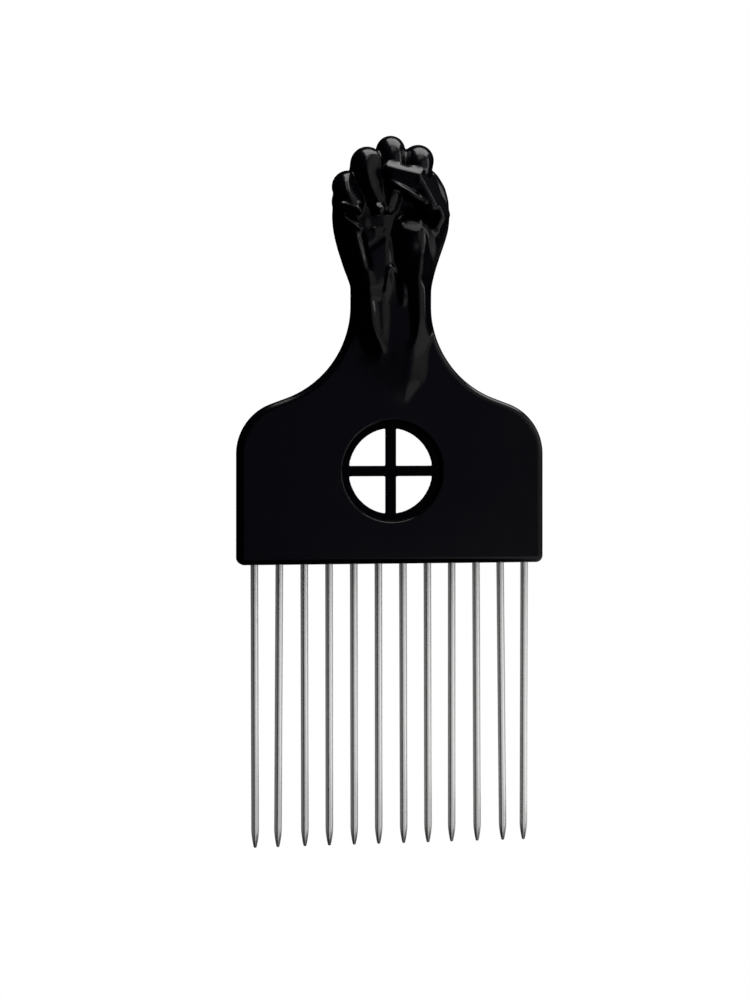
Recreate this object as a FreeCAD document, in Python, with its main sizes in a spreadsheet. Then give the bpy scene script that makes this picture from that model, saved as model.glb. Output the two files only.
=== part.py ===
import FreeCAD, Part
import math
import os

import Sketcher
from FreeCAD import Placement, Rotation, Vector

# A hair pick: one moulded handle (plate, windowed cross, forearm and fist) and
# twelve round steel pins held in blind sockets along the plate's lower edge.
#
# Frame: +Z up from the pin points to the top of the fist, +X to the right of
# the palm side, +Y from the palm side to the back of the hand. The origin is
# at the bottom centre: the level of the pin points, on the plate's mid-plane.

doc = FreeCAD.newDocument("hair_pick")
sheet = doc.addObject("Spreadsheet::Sheet", "Dims")
sheet.Label = "Dims"
_row = [1]


def cell(alias, value, note=""):
    r = _row[0]
    sheet.set("A%d" % r, alias)
    sheet.set("B%d" % r, repr(float(value)))
    if note:
        sheet.set("C%d" % r, note)
    sheet.setAlias("B%d" % r, alias)
    _row[0] = r + 1


def num(alias):
    return float(sheet.get(alias))


def bind(obj, path, expr):
    obj.setExpression(path, expr)


# ---------------------------------------------------------------- dimensions
# plate
cell("plate_thickness", 5.5, "front face to back face")
cell("plate_half_width", 36.05, "half of the widest part")
cell("plate_bottom", 65.35, "lower edge, where the pins leave")
cell("corner_radius", 1.6, "lower corners in outline")
cell("edge_round", 1.4, "rounding all round the outline, both faces")
cell("shoulder_radius", 12.4, "convex shoulder")
cell("shoulder_height", 90.91, "height of the shoulder's centre")
cell("neck_radius", 23.03, "concave sweep from shoulder to neck")
cell("neck_half_width", 9.3, "narrowest part of the outline")
cell("neck_height", 125.47, "height of the neck's centre")
# window and its cross
cell("window_radius", 9.96, "round opening through the plate")
cell("window_height", 86.9, "height of the opening's centre")
cell("recess_radius", 11.8, "round recess about the opening, both faces")
cell("recess_round", 0.35, "rounding of the recess's edge")
cell("web_thickness", 1.6, "what the two recesses leave, the ledge about the opening")
cell("bar_width", 2.43, "cross bars seen from the front")
cell("bar_depth", 1.5, "cross bars front to back, just within the web")
cell("bar_round", 0.2, "rounding along the bars")
cell("bar_half_length", 10.8, "reaches into the ledge")
# pins
cell("pin_radius", 0.9, "drawn wire")
cell("pin_pitch", 5.81, "pin to pin along the row")
cell("pin_root", 8.0, "length held in the plate, clear of the window's rim")
cell("pin_chamfer", 0.25, "at the root's end")
cell("pin_length", 65.35, "free length below the plate")
cell("pin_point", 3.9, "length of the ground point")
cell("pin_tip_radius", 0.42, "blunt round tip")
cell("groove_depth", 0.15, "retention rings in the root")
cell("groove_width", 0.9, "retention rings in the root")
cell("groove_first", 2.2, "lower ring above the plate's edge")
cell("groove_second", 5.0, "upper ring above the plate's edge")
# each pin leans a little in the plane of the plate, in degrees
LEANS = [0.17, -0.29, 0.15, 0.07, 0.11, 0.08, 0.17, 0.15, 0.0, 0.26, 0.56, -0.18]
for i, a in enumerate(LEANS):
    cell("lean_%s" % "abcdefghijkl"[i], a, "pin lean, point towards +X")

# forearm and palm: ellipse sections, height, half width, half depth, offset in Y
ARM = [
    ("low", 99.6, 4.9, 2.55, 0.0),
    ("fade", 106.0, 6.6, 3.7, 0.0),
    ("rise", 115.0, 8.4, 5.3, 0.0),
    ("waist", 126.5, 9.45, 6.5, 0.0),
    ("wrist", 135.0, 10.7, 7.3, 0.0),
    ("heel", 142.5, 13.2, 8.3, 0.2),
    ("palm", 149.5, 13.1, 8.2, 0.6),
    ("crown", 156.0, 10.6, 6.6, 1.0),
]
for n, z, a, b, y in ARM:
    cell("arm_%s_height" % n, z)
    cell("arm_%s_width" % n, a, "half width")
    cell("arm_%s_depth" % n, b, "half depth")
    cell("arm_%s_shift" % n, y, "offset towards the back")

# fist: each mass is a tapered round bar with ball ends laid along a bone, given
# by the bone's two ends and the flesh radius there. Palm side is -Y, thumb side
# is +X. Each middle bone starts a little thinner than the knuckle it leaves.
BONES = [
    # name, end A (x, y, z, r), end B (x, y, z, r)
    ("little_base", (-10.3, 4.6, 149.6, 3.9), (-10.6, -3.6, 152.2, 3.7)),
    ("little_mid", (-10.6, -3.6, 152.2, 3.4), (-10.4, -6.4, 146.8, 3.1)),
    ("ring_base", (-5.4, 5.2, 154.2, 4.2), (-6.2, -4.0, 158.0, 3.7)),
    ("ring_mid", (-6.2, -4.0, 158.0, 3.4), (-3.9, -7.2, 148.8, 3.05)),
    ("middle_base", (0.3, 5.4, 156.6, 4.3), (-0.5, -3.0, 161.8, 3.2)),
    ("middle_mid", (-0.5, -3.0, 161.8, 2.95), (0.6, -6.6, 152.5, 2.9)),
    ("index_base", (6.0, 5.2, 155.2, 4.3), (6.0, -3.8, 158.9, 3.5)),
    ("index_mid", (6.0, -3.8, 158.9, 3.25), (5.0, -6.6, 151.0, 3.0)),
    ("thumb_base", (10.0, -3.6, 144.8, 3.9), (6.8, -7.2, 153.6, 3.3)),
    ("thumb_end", (6.8, -7.2, 153.6, 3.05), (0.2, -7.9, 156.6, 2.5)),
    ("thenar", (6.4, -2.6, 136.0, 4.3), (7.6, -4.0, 145.4, 5.2)),
    ("hypothenar", (-6.8, -2.6, 135.5, 4.1), (-8.4, -3.4, 144.6, 5.0)),
]
for n, a, b in BONES:
    for tag, e in (("start", a), ("end", b)):
        for ax, v in zip(("across", "back", "up", "flesh"), e):
            cell("%s_%s_%s" % (n, tag, ax), v)
doc.recompute()


# ------------------------------------------------------------------- helpers
def plane(body, role):
    for f in body.Origin.OriginFeatures:
        if f.Role == role:
            return f
    raise RuntimeError(role)


def new_sketch(body, name, role):
    sk = body.newObject("Sketcher::SketchObject", name)
    sk.AttachmentSupport = [(plane(body, role), "")]
    sk.MapMode = "FlatFace"
    return sk


def named(sk, cons, name, expr):
    """Add a driving dimension and bind it to the sheet."""
    k = sk.addConstraint(cons)
    sk.renameConstraint(k, name)
    sk.setExpression("Constraints." + name, expr)
    return k


def symmetric_pad(body, name, sk, expr):
    pad = body.newObject("PartDesign::Pad", name)
    pad.Profile = sk
    if "SideType" in pad.PropertiesList:
        pad.SideType = "Symmetric"
    else:
        pad.Midplane = True
    bind(pad, "Length", expr)
    return pad


C = Sketcher.Constraint


# --------------------------------------------------------------------- plate
plate = doc.addObject("PartDesign::Body", "plate")
hw, zb, cr = num("plate_half_width"), num("plate_bottom"), num("corner_radius")
rs, zs = num("shoulder_radius"), num("shoulder_height")
rn, nw, zn = num("neck_radius"), num("neck_half_width"), num("neck_height")
cs = Vector(hw - rs, zs, 0)
cn = Vector(nw + rn, zn, 0)
# inner tangent from the convex shoulder to the concave neck
d = cn - cs
L = d.Length
base = math.atan2(d.y, d.x)
th = base - math.acos((rs + rn) / L)
pd = cs + Vector(rs * math.cos(th), rs * math.sin(th), 0)
pe = cn - Vector(rn * math.cos(th), rn * math.sin(th), 0)


def arc(c, r, a0, a1):
    return Part.ArcOfCircle(Part.Circle(c, Vector(0, 0, 1), r), a0, a1)


def line(a, b):
    return Part.LineSegment(a, b)


def V(x, z):
    return Vector(x, z, 0)


sk = new_sketch(plate, "outline", "XZ_Plane")
pi = math.pi
geo = [
    line(V(-hw + cr, zb), V(hw - cr, zb)),                # 0 lower edge
    arc(V(hw - cr, zb + cr), cr, -pi / 2, 0),             # 1 right corner
    line(V(hw, zb + cr), V(hw, zs)),                      # 2 right side
    arc(cs, rs, 0, th),                                   # 3 right shoulder
    line(pd, pe),                                         # 4 right slope
    arc(cn, rn, pi, pi + th),                             # 5 right neck
    line(V(nw, zn), V(-nw, zn)),                          # 6 top, inside the arm
    arc(V(-cn.x, zn), rn, -th, 0),                        # 7 left neck
    line(V(-pe.x, pe.y), V(-pd.x, pd.y)),                 # 8 left slope
    arc(V(-cs.x, zs), rs, pi - th, pi),                   # 9 left shoulder
    line(V(-hw, zs), V(-hw, zb + cr)),                    # 10 left side
    arc(V(-hw + cr, zb + cr), cr, pi, 1.5 * pi),          # 11 left corner
]
for g in geo:
    sk.addGeometry(g, False)
sk.addConstraint([
    C("Tangent", 0, 2, 1, 1), C("Tangent", 1, 2, 2, 1), C("Tangent", 2, 2, 3, 1),
    C("Tangent", 3, 2, 4, 1), C("Tangent", 4, 2, 5, 2), C("Coincident", 5, 1, 6, 1),
    C("Coincident", 6, 2, 7, 2), C("Tangent", 7, 1, 8, 1), C("Tangent", 8, 2, 9, 1),
    C("Tangent", 9, 2, 10, 1), C("Tangent", 10, 2, 11, 1), C("Tangent", 11, 2, 0, 1),
    C("Horizontal", 0), C("Horizontal", 6), C("Vertical", 2), C("Vertical", 10),
])
named(sk, C("DistanceY", -1, 1, 0, 1, zb), "bottom", "Dims.plate_bottom")
named(sk, C("DistanceY", -1, 1, 6, 1, zn), "top_up", "Dims.neck_height")
named(sk, C("DistanceX", -1, 1, 2, 1, hw), "half_width", "Dims.plate_half_width")
named(sk, C("DistanceX", 10, 1, -1, 1, hw), "half_width_left", "Dims.plate_half_width")
named(sk, C("DistanceX", -1, 1, 6, 1, nw), "neck_half", "Dims.neck_half_width")
named(sk, C("DistanceX", 6, 2, -1, 1, nw), "neck_half_left", "Dims.neck_half_width")
for side, corner, shoulder, neck in (("", 1, 3, 5), ("_left", 11, 9, 7)):
    named(sk, C("Radius", corner, cr), "corner" + side, "Dims.corner_radius")
    named(sk, C("Radius", shoulder, rs), "shoulder" + side, "Dims.shoulder_radius")
    named(sk, C("DistanceY", -1, 1, shoulder, 3, zs), "shoulder_up" + side, "Dims.shoulder_height")
    named(sk, C("Radius", neck, rn), "neck" + side, "Dims.neck_radius")
    named(sk, C("DistanceY", -1, 1, neck, 3, zn), "neck_up" + side, "Dims.neck_height")
pad = symmetric_pad(plate, "plate_pad", sk, "Dims.plate_thickness")
doc.recompute()
plate_volume = pad.Shape.Volume

half_t = num("plate_thickness") / 2


def face_edges(shape, keep):
    """Names of the edges that lie in the front or back face and pass keep."""
    out = []
    for k, e in enumerate(shape.Edges, 1):
        ys = [abs(e.valueAt(e.FirstParameter + f * (e.LastParameter - e.FirstParameter)).y)
              for f in (0.0, 0.37, 0.71, 1.0)]
        if min(ys) > half_t - 1e-4 and max(ys) < half_t + 1e-4 and keep(e):
            out.append("Edge%d" % k)
    return out


outer = face_edges(pad.Shape, lambda e: e.CenterOfMass.z < zn - 1e-3)
rim = plate.newObject("PartDesign::Fillet", "rim")
rim.Base = (pad, outer)
bind(rim, "Radius", "Dims.edge_round")
doc.recompute()

wsk = new_sketch(plate, "window_outline", "XZ_Plane")
wsk.addGeometry(Part.Circle(V(0, num("window_height")), Vector(0, 0, 1), num("window_radius")), False)
wsk.addConstraint(C("PointOnObject", 0, 3, -2))
named(wsk, C("Radius", 0, num("window_radius")), "opening", "Dims.window_radius")
named(wsk, C("DistanceY", -1, 1, 0, 3, num("window_height")), "opening_up", "Dims.window_height")
window = plate.newObject("PartDesign::Pocket", "window")
window.Profile = wsk
if "SideType" in window.PropertiesList:
    window.SideType = "Symmetric"
else:
    window.Midplane = True
window.Type = "Length"
bind(window, "Length", "Dims.plate_thickness * 2")
doc.recompute()
cut = rim.Shape.Volume - window.Shape.Volume
want = pi * num("window_radius") ** 2 * num("plate_thickness")
if abs(cut - want) > 0.01 * want:
    raise RuntimeError("window cut %.1f, expected %.1f" % (cut, want))


def recess(side, sign):
    """Flat-bottomed recess about the window, from one face down to the web."""
    s = new_sketch(plate, side + "_recess_outline", "XZ_Plane")
    s.AttachmentOffset = Placement(Vector(0, 0, sign * half_t), Rotation())
    bind(s, "AttachmentOffset.Base.z", "%d * Dims.plate_thickness / 2" % sign)
    s.addGeometry(Part.Circle(V(0, num("window_height")), Vector(0, 0, 1), num("recess_radius")), False)
    s.addConstraint(C("PointOnObject", 0, 3, -2))
    named(s, C("Radius", 0, num("recess_radius")), "edge", "Dims.recess_radius")
    named(s, C("DistanceY", -1, 1, 0, 3, num("window_height")), "edge_up", "Dims.window_height")
    before = plate.Tip.Shape.Volume
    p = plate.newObject("PartDesign::Pocket", side + "_recess")
    p.Profile = s
    p.Type = "Length"
    p.Reversed = sign < 0
    bind(p, "Length", "(Dims.plate_thickness - Dims.web_thickness) / 2")
    doc.recompute()
    gone = before - p.Shape.Volume
    ring_area = pi * (num("recess_radius") ** 2 - num("window_radius") ** 2)
    expect = ring_area * (num("plate_thickness") - num("web_thickness")) / 2
    if abs(gone - expect) > 0.01 * expect:
        raise RuntimeError("%s recess cut %.1f, expected %.1f" % (side, gone, expect))
    return p


recess("front", 1)
back = recess("back", -1)
rr = num("recess_radius")
ring = face_edges(back.Shape, lambda e: hasattr(e.Curve, "Radius") and abs(e.Curve.Radius - rr) < 1e-4)
wrim = plate.newObject("PartDesign::Fillet", "recess_rim")
wrim.Base = (back, ring)
bind(wrim, "Radius", "Dims.recess_round")
plate.Tip = wrim
doc.recompute()


# --------------------------------------------------------- cross in the window
def rounded_bar(name, role, flat_axis_first):
    """A bar of rounded rectangular section through the window's centre."""
    body = doc.addObject("PartDesign::Body", name)
    s = new_sketch(body, name + "_section", role)
    w, dpt, r = num("bar_width") / 2, num("bar_depth") / 2, num("bar_round")
    a, b = (w, dpt) if flat_axis_first else (dpt, w)
    ea, eb = ("Dims.bar_width", "Dims.bar_depth") if flat_axis_first else ("Dims.bar_depth", "Dims.bar_width")
    gs = [
        line(V(-a + r, -b), V(a - r, -b)), arc(V(a - r, -b + r), r, -pi / 2, 0),
        line(V(a, -b + r), V(a, b - r)), arc(V(a - r, b - r), r, 0, pi / 2),
        line(V(a - r, b), V(-a + r, b)), arc(V(-a + r, b - r), r, pi / 2, pi),
        line(V(-a, b - r), V(-a, -b + r)), arc(V(-a + r, -b + r), r, pi, 1.5 * pi),
    ]
    for g in gs:
        s.addGeometry(g, False)
    s.addConstraint([C("Tangent", k, 2, (k + 1) % 8, 1) for k in range(8)])
    s.addConstraint([C("Horizontal", 0), C("Vertical", 2), C("Equal", 1, 3), C("Equal", 3, 5), C("Equal", 5, 7)])
    s.addConstraint(C("Symmetric", 0, 1, 4, 1, -1, 1))
    named(s, C("Radius", 1, r), "round", "Dims.bar_round")
    named(s, C("DistanceX", 6, 1, 2, 1, 2 * a), "first_size", ea)
    named(s, C("DistanceY", 0, 1, 4, 2, 2 * b), "second_size", eb)
    symmetric_pad(body, name + "_pad", s, "Dims.bar_half_length * 2")
    bind(body, "Placement.Base.z", "Dims.window_height")
    return body


bar_level = rounded_bar("bar_level", "YZ_Plane", False)
bar_upright = rounded_bar("bar_upright", "XY_Plane", True)
doc.recompute()


# ---------------------------------------------------------- forearm and palm
sections = []
for n, z, a, b, y in ARM:
    e = doc.addObject("Part::Ellipse", "arm_" + n)
    bind(e, "MajorRadius", "Dims.arm_%s_width" % n)
    bind(e, "MinorRadius", "Dims.arm_%s_depth" % n)
    bind(e, "Placement.Base.y", "Dims.arm_%s_shift" % n)
    bind(e, "Placement.Base.z", "Dims.arm_%s_height" % n)
    sections.append(e)
doc.recompute()
arm = doc.addObject("Part::Loft", "forearm")
arm.Sections = sections
arm.Solid = True
arm.Ruled = False
doc.recompute()


# ----------------------------------------------------------------------- fist
def mass(name):
    """Turned bar with ball ends along one bone. Its own origin is the bone's
    start, and it runs up its own +Z."""
    start, end = "Dims.%s_start_" % name, "Dims.%s_end_" % name
    a = Vector(*[num("%s_start_%s" % (name, k)) for k in ("across", "back", "up")])
    b = Vector(*[num("%s_end_%s" % (name, k)) for k in ("across", "back", "up")])
    ra, rb, span = num(name + "_start_flesh"), num(name + "_end_flesh"), (b - a).Length
    span_expr = "sqrt((%sacross - %sacross) ^ 2 + (%sback - %sback) ^ 2 + (%sup - %sup) ^ 2)" % (
        start, end, start, end, start, end)
    body = doc.addObject("PartDesign::Body", name)
    s = new_sketch(body, name + "_profile", "XZ_Plane")
    t = math.asin((ra - rb) / span)
    pa = V(ra * math.cos(t), ra * math.sin(t))
    pb = V(rb * math.cos(t), span + rb * math.sin(t))
    s.addGeometry(arc(V(0, 0), ra, -pi / 2, t), False)
    s.addGeometry(line(pa, pb), False)
    s.addGeometry(arc(V(0, span), rb, t, pi / 2), False)
    s.addGeometry(line(V(0, span + rb), V(0, -ra)), False)
    s.addConstraint([
        C("Tangent", 0, 2, 1, 1), C("Tangent", 1, 2, 2, 1), C("Coincident", 2, 2, 3, 1),
        C("Coincident", 3, 2, 0, 1), C("Coincident", 0, 3, -1, 1), C("PointOnObject", 2, 3, -2),
        C("PointOnObject", 3, 1, -2), C("PointOnObject", 3, 2, -2),
    ])
    named(s, C("Radius", 0, ra), "start_flesh", start + "flesh")
    named(s, C("Radius", 2, rb), "end_flesh", end + "flesh")
    named(s, C("DistanceY", -1, 1, 2, 3, span), "span", span_expr)
    rev = body.newObject("PartDesign::Revolution", name + "_turned")
    rev.Profile = s
    rev.ReferenceAxis = (s, ["V_Axis"])
    rev.Angle = 360
    body.Tip = rev
    body.Placement = Placement(a, Rotation(Vector(0, 0, 1), b - a))
    for ax, k in (("x", "across"), ("y", "back"), ("z", "up")):
        bind(body, "Placement.Base." + ax, start + k)
    return body


masses = [mass(n) for n, a, b in BONES]
doc.recompute()

blank = doc.addObject("Part::MultiFuse", "handle_blank")
blank.Shapes = [plate, bar_level, bar_upright, arm] + masses
blank.Refine = False
doc.recompute()


# ----------------------------------------------------------------------- pins
def pin(i):
    """Turned pin: root with two retention rings, shaft, ground point, round tip.
    Its own origin is where it leaves the plate, and it runs down its own -Z."""
    body = doc.addObject("PartDesign::Body", "tine_%02d" % (i + 1))
    body.Label = "tine_%02d" % (i + 1)
    s = new_sketch(body, "tine_%02d_profile" % (i + 1), "XZ_Plane")
    r, root, ch = num("pin_radius"), num("pin_root"), num("pin_chamfer")
    ln, pt, tr = num("pin_length"), num("pin_point"), num("pin_tip_radius")
    gd, gw = num("groove_depth"), num("groove_width")
    g1, g2 = num("groove_first"), num("groove_second")
    mid_r, mid_z = r * 0.80, -(ln - pt * 0.48)
    tip_z = -(ln - tr)
    pts = [
        V(0, root), V(r - ch, root), V(r, root - ch),
        V(r, g2 + gw), V(r - gd, g2 + gw), V(r - gd, g2), V(r, g2),
        V(r, g1 + gw), V(r - gd, g1 + gw), V(r - gd, g1), V(r, g1),
        V(r, -(ln - pt)), V(mid_r, mid_z), V(tr, tip_z),
    ]
    for a, b in zip(pts, pts[1:]):
        s.addGeometry(line(a, b), False)
    k_arc = len(pts) - 1
    s.addGeometry(arc(V(0, tip_z), tr, -pi / 2, 0), False)
    s.addGeometry(line(V(0, -ln), V(0, root)), False)
    k_axis = k_arc + 1
    s.addConstraint([C("Coincident", k, 2, k + 1, 1) for k in range(k_arc - 1)])
    s.addConstraint([
        C("Coincident", k_arc - 1, 2, k_arc, 2), C("Coincident", k_arc, 1, k_axis, 1),
        C("Coincident", k_axis, 2, 0, 1), C("PointOnObject", k_axis, 1, -2),
        C("PointOnObject", k_axis, 2, -2), C("PointOnObject", k_arc, 3, -2),
        C("Horizontal", 0), C("Vertical", 2), C("Horizontal", 3), C("Vertical", 4),
        C("Horizontal", 5), C("Vertical", 6), C("Horizontal", 7), C("Vertical", 8),
        C("Horizontal", 9), C("Vertical", 10),
    ])
    named(s, C("DistanceY", -1, 1, 0, 1, root), "root_up", "Dims.pin_root")
    named(s, C("DistanceX", -1, 1, 1, 1, r - ch), "root_face", "Dims.pin_radius - Dims.pin_chamfer")
    named(s, C("DistanceX", -1, 1, 2, 1, r), "shaft", "Dims.pin_radius")
    named(s, C("DistanceY", -1, 1, 2, 1, root - ch), "chamfer_up", "Dims.pin_root - Dims.pin_chamfer")
    for tag, g, k in (("second", g2, 3), ("first", g1, 7)):
        named(s, C("DistanceY", -1, 1, k, 1, g + gw), tag + "_top", "Dims.groove_%s + Dims.groove_width" % tag)
        named(s, C("DistanceX", -1, 1, k + 1, 1, r - gd), tag + "_floor", "Dims.pin_radius - Dims.groove_depth")
        named(s, C("DistanceY", -1, 1, k + 2, 1, g), tag + "_low", "Dims.groove_%s" % tag)
        named(s, C("DistanceX", -1, 1, k + 3, 1, r), tag + "_land", "Dims.pin_radius")
    named(s, C("DistanceY", 11, 1, -1, 1, ln - pt), "point_top", "Dims.pin_length - Dims.pin_point")
    named(s, C("DistanceX", -1, 1, 12, 1, mid_r), "point_mid", "Dims.pin_radius * 0.8")
    named(s, C("DistanceY", 12, 1, -1, 1, -mid_z), "point_mid_low", "Dims.pin_length - Dims.pin_point * 0.48")
    named(s, C("Radius", k_arc, tr), "tip", "Dims.pin_tip_radius")
    named(s, C("DistanceY", k_axis, 1, -1, 1, ln), "tip_low", "Dims.pin_length")
    s.addConstraint(C("Horizontal", k_arc - 1, 2, k_arc, 3))
    rev = body.newObject("PartDesign::Revolution", "tine_%02d_turned" % (i + 1))
    rev.Profile = s
    rev.ReferenceAxis = (s, ["V_Axis"])
    rev.Angle = 360
    body.Tip = rev
    body.Placement = Placement(Vector(0, 0, 0), Rotation(Vector(0, -1, 0), 1.0))
    bind(body, "Placement.Base.x", "Dims.pin_pitch * %.1f" % (i - 5.5))
    bind(body, "Placement.Base.z", "Dims.plate_bottom")
    bind(body, "Placement.Rotation.Angle", "Dims.lean_%s" % "abcdefghijkl"[i])
    return body


pins = [pin(i) for i in range(12)]
doc.recompute()

pin_set = doc.addObject("Part::Compound", "pin_set")
pin_set.Links = pins
handle = doc.addObject("Part::Cut", "handle")
handle.Base = blank
handle.Tool = pin_set
handle.Label = "handle"
handle.Refine = False
doc.recompute()

# -------------------------------------------------------------------- checks
bad = [o.Label for o in doc.Objects if "Invalid" in o.State or "Error" in o.State]
if bad:
    raise RuntimeError("failed objects: %s" % bad)
nodes = [handle] + pins
for o in nodes:
    s = o.Shape
    if s.isNull() or not s.isValid():
        raise RuntimeError("bad shape: " + o.Label)
    if len(s.Solids) != 1:
        raise RuntimeError("%s has %d solids" % (o.Label, len(s.Solids)))
box = FreeCAD.BoundBox()
for o in nodes:
    b = o.Shape.optimalBoundingBox()
    box.add(b)
    print("%-10s volume %9.1f  x %7.2f %7.2f  y %6.2f %6.2f  z %7.2f %7.2f" % (
        o.Label, o.Shape.Volume, b.XMin, b.XMax, b.YMin, b.YMax, b.ZMin, b.ZMax))
print("whole  x %.2f %.2f  y %.2f %.2f  z %.2f %.2f" % (box.XMin, box.XMax, box.YMin, box.YMax, box.ZMin, box.ZMax))
print("socket volume", blank.Shape.Volume - handle.Shape.Volume)

os.makedirs("parts", exist_ok=True)
for o in nodes:
    o.Shape.exportStep(os.path.join("parts", o.Label + ".step"))
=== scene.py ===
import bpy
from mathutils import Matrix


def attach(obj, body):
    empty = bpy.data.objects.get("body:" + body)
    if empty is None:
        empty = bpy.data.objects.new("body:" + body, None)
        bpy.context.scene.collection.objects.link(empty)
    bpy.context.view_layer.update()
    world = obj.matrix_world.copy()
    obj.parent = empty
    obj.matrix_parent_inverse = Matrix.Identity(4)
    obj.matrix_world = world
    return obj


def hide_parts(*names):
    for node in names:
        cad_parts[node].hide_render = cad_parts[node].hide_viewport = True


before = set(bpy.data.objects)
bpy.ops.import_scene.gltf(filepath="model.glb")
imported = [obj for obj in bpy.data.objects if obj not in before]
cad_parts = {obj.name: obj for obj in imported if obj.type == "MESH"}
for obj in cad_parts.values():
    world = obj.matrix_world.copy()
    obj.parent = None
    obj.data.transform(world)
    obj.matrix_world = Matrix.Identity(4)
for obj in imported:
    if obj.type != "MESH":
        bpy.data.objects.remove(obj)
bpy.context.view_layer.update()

import math

import bpy
from mathutils import Vector
import numpy as np

# ---------------------------------------------------------------------------
# Camera: level, a little to the left of the plate's normal, so that the left
# wall of the plate just shows. Sizes here are in millimetres until the meshes
# are made; image positions are in a frame of 750 by 1000.
# ---------------------------------------------------------------------------
FOCAL, FAR, COL, ROW, EYE, YAW = 2279.8, 531.9, 390.63, 421.24, 98.5, math.radians(10.0)
SY, CY = math.sin(YAW), math.cos(YAW)


def at(col, row, y):
    """The point at depth y (mm, towards the back) that shows at col, row."""
    x = 0.0
    for _ in range(6):
        w = FAR + x * SY + y * CY
        x = ((col - COL) * w / FOCAL + y * SY) / CY
    w = FAR + x * SY + y * CY
    return np.array([x, y, EYE + (ROW - row) * w / FOCAL])


# ---------------------------------------------------------------------------
# Handle: plate, window, cross, forearm and fist as one smooth moulding. It is
# described by signed distances, blended where the mould blends them.
# ---------------------------------------------------------------------------
def smin(a, b, k):
    h = np.maximum(k - np.abs(a - b), 0.0) / k
    return np.minimum(a, b) - h * h * (k * 0.25)


def smax(a, b, k):
    return -smin(-a, -b, k)


def bar(P, a, b, ra, rb):
    """Round bar with ball ends from a to b."""
    a, b = np.asarray(a, float), np.asarray(b, float)
    ab = b - a
    t = np.clip(((P - a) @ ab) / (ab @ ab), 0.0, 1.0)
    q = P - a - t[:, None] * ab
    return np.sqrt((q * q).sum(1)) - (ra + (rb - ra) * t)


def egg(P, c, r, axis=None):
    """Ellipsoid with half sizes r, its first axis along axis if given."""
    q = P - np.asarray(c, float)
    if axis is not None:
        u = np.asarray(axis, float)
        u = u / np.linalg.norm(u)
        w = np.cross(u, (0.0, 1.0, 0.0))
        w = w / np.linalg.norm(w)
        v = np.cross(w, u)
        q = np.stack([q @ u, q @ v, q @ w], 1)
    r = np.asarray(r, float)
    k0 = np.sqrt(((q / r) ** 2).sum(1))
    k1 = np.sqrt(((q / (r * r)) ** 2).sum(1))
    return k0 * (k0 - 1.0) / np.maximum(k1, 1e-9)


def table(rows, sigma=0.8):
    """Smooth function of height through (height, value) pairs."""
    rows = sorted(rows)
    zz = np.arange(rows[0][0] - 6, rows[-1][0] + 6, 0.1)
    v = np.interp(zz, [r[0] for r in rows], [r[1] for r in rows])
    n = int(4 * sigma / 0.1)
    ker = np.exp(-0.5 * (np.arange(-n, n + 1) * 0.1 / sigma) ** 2)
    ker /= ker.sum()
    v = np.convolve(np.pad(v, n, mode="edge"), ker, mode="valid")
    return lambda z: np.interp(z, zz, v)


# plate outline, right half
HALF_T, HALF_W, LOW = 2.75, 36.05, 65.35
CORNER, EDGE = 1.6, 1.4
SH_R, SH_Z = 12.4, 90.91
NK_R, NK_W, NK_Z = 23.03, 9.3, 125.47
SH_X, NK_X = HALF_W - SH_R, NK_W + NK_R
_b = math.atan2(NK_Z - SH_Z, NK_X - SH_X)
_t = _b - math.acos((SH_R + NK_R) / math.hypot(NK_X - SH_X, NK_Z - SH_Z))
PD = np.array([SH_X + SH_R * math.cos(_t), SH_Z + SH_R * math.sin(_t)])
PE = np.array([NK_X - NK_R * math.cos(_t), NK_Z - NK_R * math.sin(_t)])
NECK_TOP = 130.5


def outline(x, z):
    """Signed distance to the plate's outline, negative inside."""
    x = np.abs(x)
    # convex lower block: rounded corner, side and shoulder
    far = np.full_like(x, 1e9)
    d = np.abs(z - LOW)
    d = np.where(x <= HALF_W - CORNER, d, far)
    a = np.hypot(x - (HALF_W - CORNER), z - (LOW + CORNER))
    on = (x > HALF_W - CORNER) & (z < LOW + CORNER)
    d = np.minimum(d, np.where(on, np.abs(a - CORNER), far))
    s = np.hypot(x - HALF_W, z - np.clip(z, LOW + CORNER, SH_Z))
    d = np.minimum(d, s)
    ang = np.arctan2(z - SH_Z, x - SH_X)
    on = (ang >= 0) & (ang <= _t)
    d = np.minimum(d, np.where(on, np.abs(np.hypot(x - SH_X, z - SH_Z) - SH_R), far))
    e = PE - PD
    tt = np.clip(((x - PD[0]) * e[0] + (z - PD[1]) * e[1]) / (e @ e), 0, 1)
    d = np.minimum(d, np.hypot(x - PD[0] - tt * e[0], z - PD[1] - tt * e[1]))
    ang = np.arctan2(NK_Z - z, NK_X - x)
    on = (ang >= 0) & (ang <= _t)
    d = np.minimum(d, np.where(on, np.abs(np.hypot(x - NK_X, z - NK_Z) - NK_R), far))
    d = np.minimum(d, np.hypot(x - NK_W, z - np.clip(z, NK_Z, NECK_TOP)))
    # half width at each height gives the sign
    w = np.full_like(z, HALF_W)
    w = np.where(z < LOW + CORNER, HALF_W - CORNER + np.sqrt(np.clip(CORNER ** 2 - (LOW + CORNER - z) ** 2, 0, None)), w)
    w = np.where(z > SH_Z, SH_X + np.sqrt(np.clip(SH_R ** 2 - (z - SH_Z) ** 2, 0, None)), w)
    w = np.where(z > PD[1], PD[0] + (z - PD[1]) / e[1] * e[0], w)
    w = np.where(z > PE[1], NK_X - np.sqrt(np.clip(NK_R ** 2 - (z - NK_Z) ** 2, 0, None)), w)
    w = np.where(z > NK_Z, NK_W, w)
    inside = (x < w) & (z > LOW) & (z < NECK_TOP)
    top = np.abs(z - NECK_TOP)
    d = np.minimum(d, np.where(x < NK_W, top, far))
    return np.where(inside, -d, d)


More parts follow.
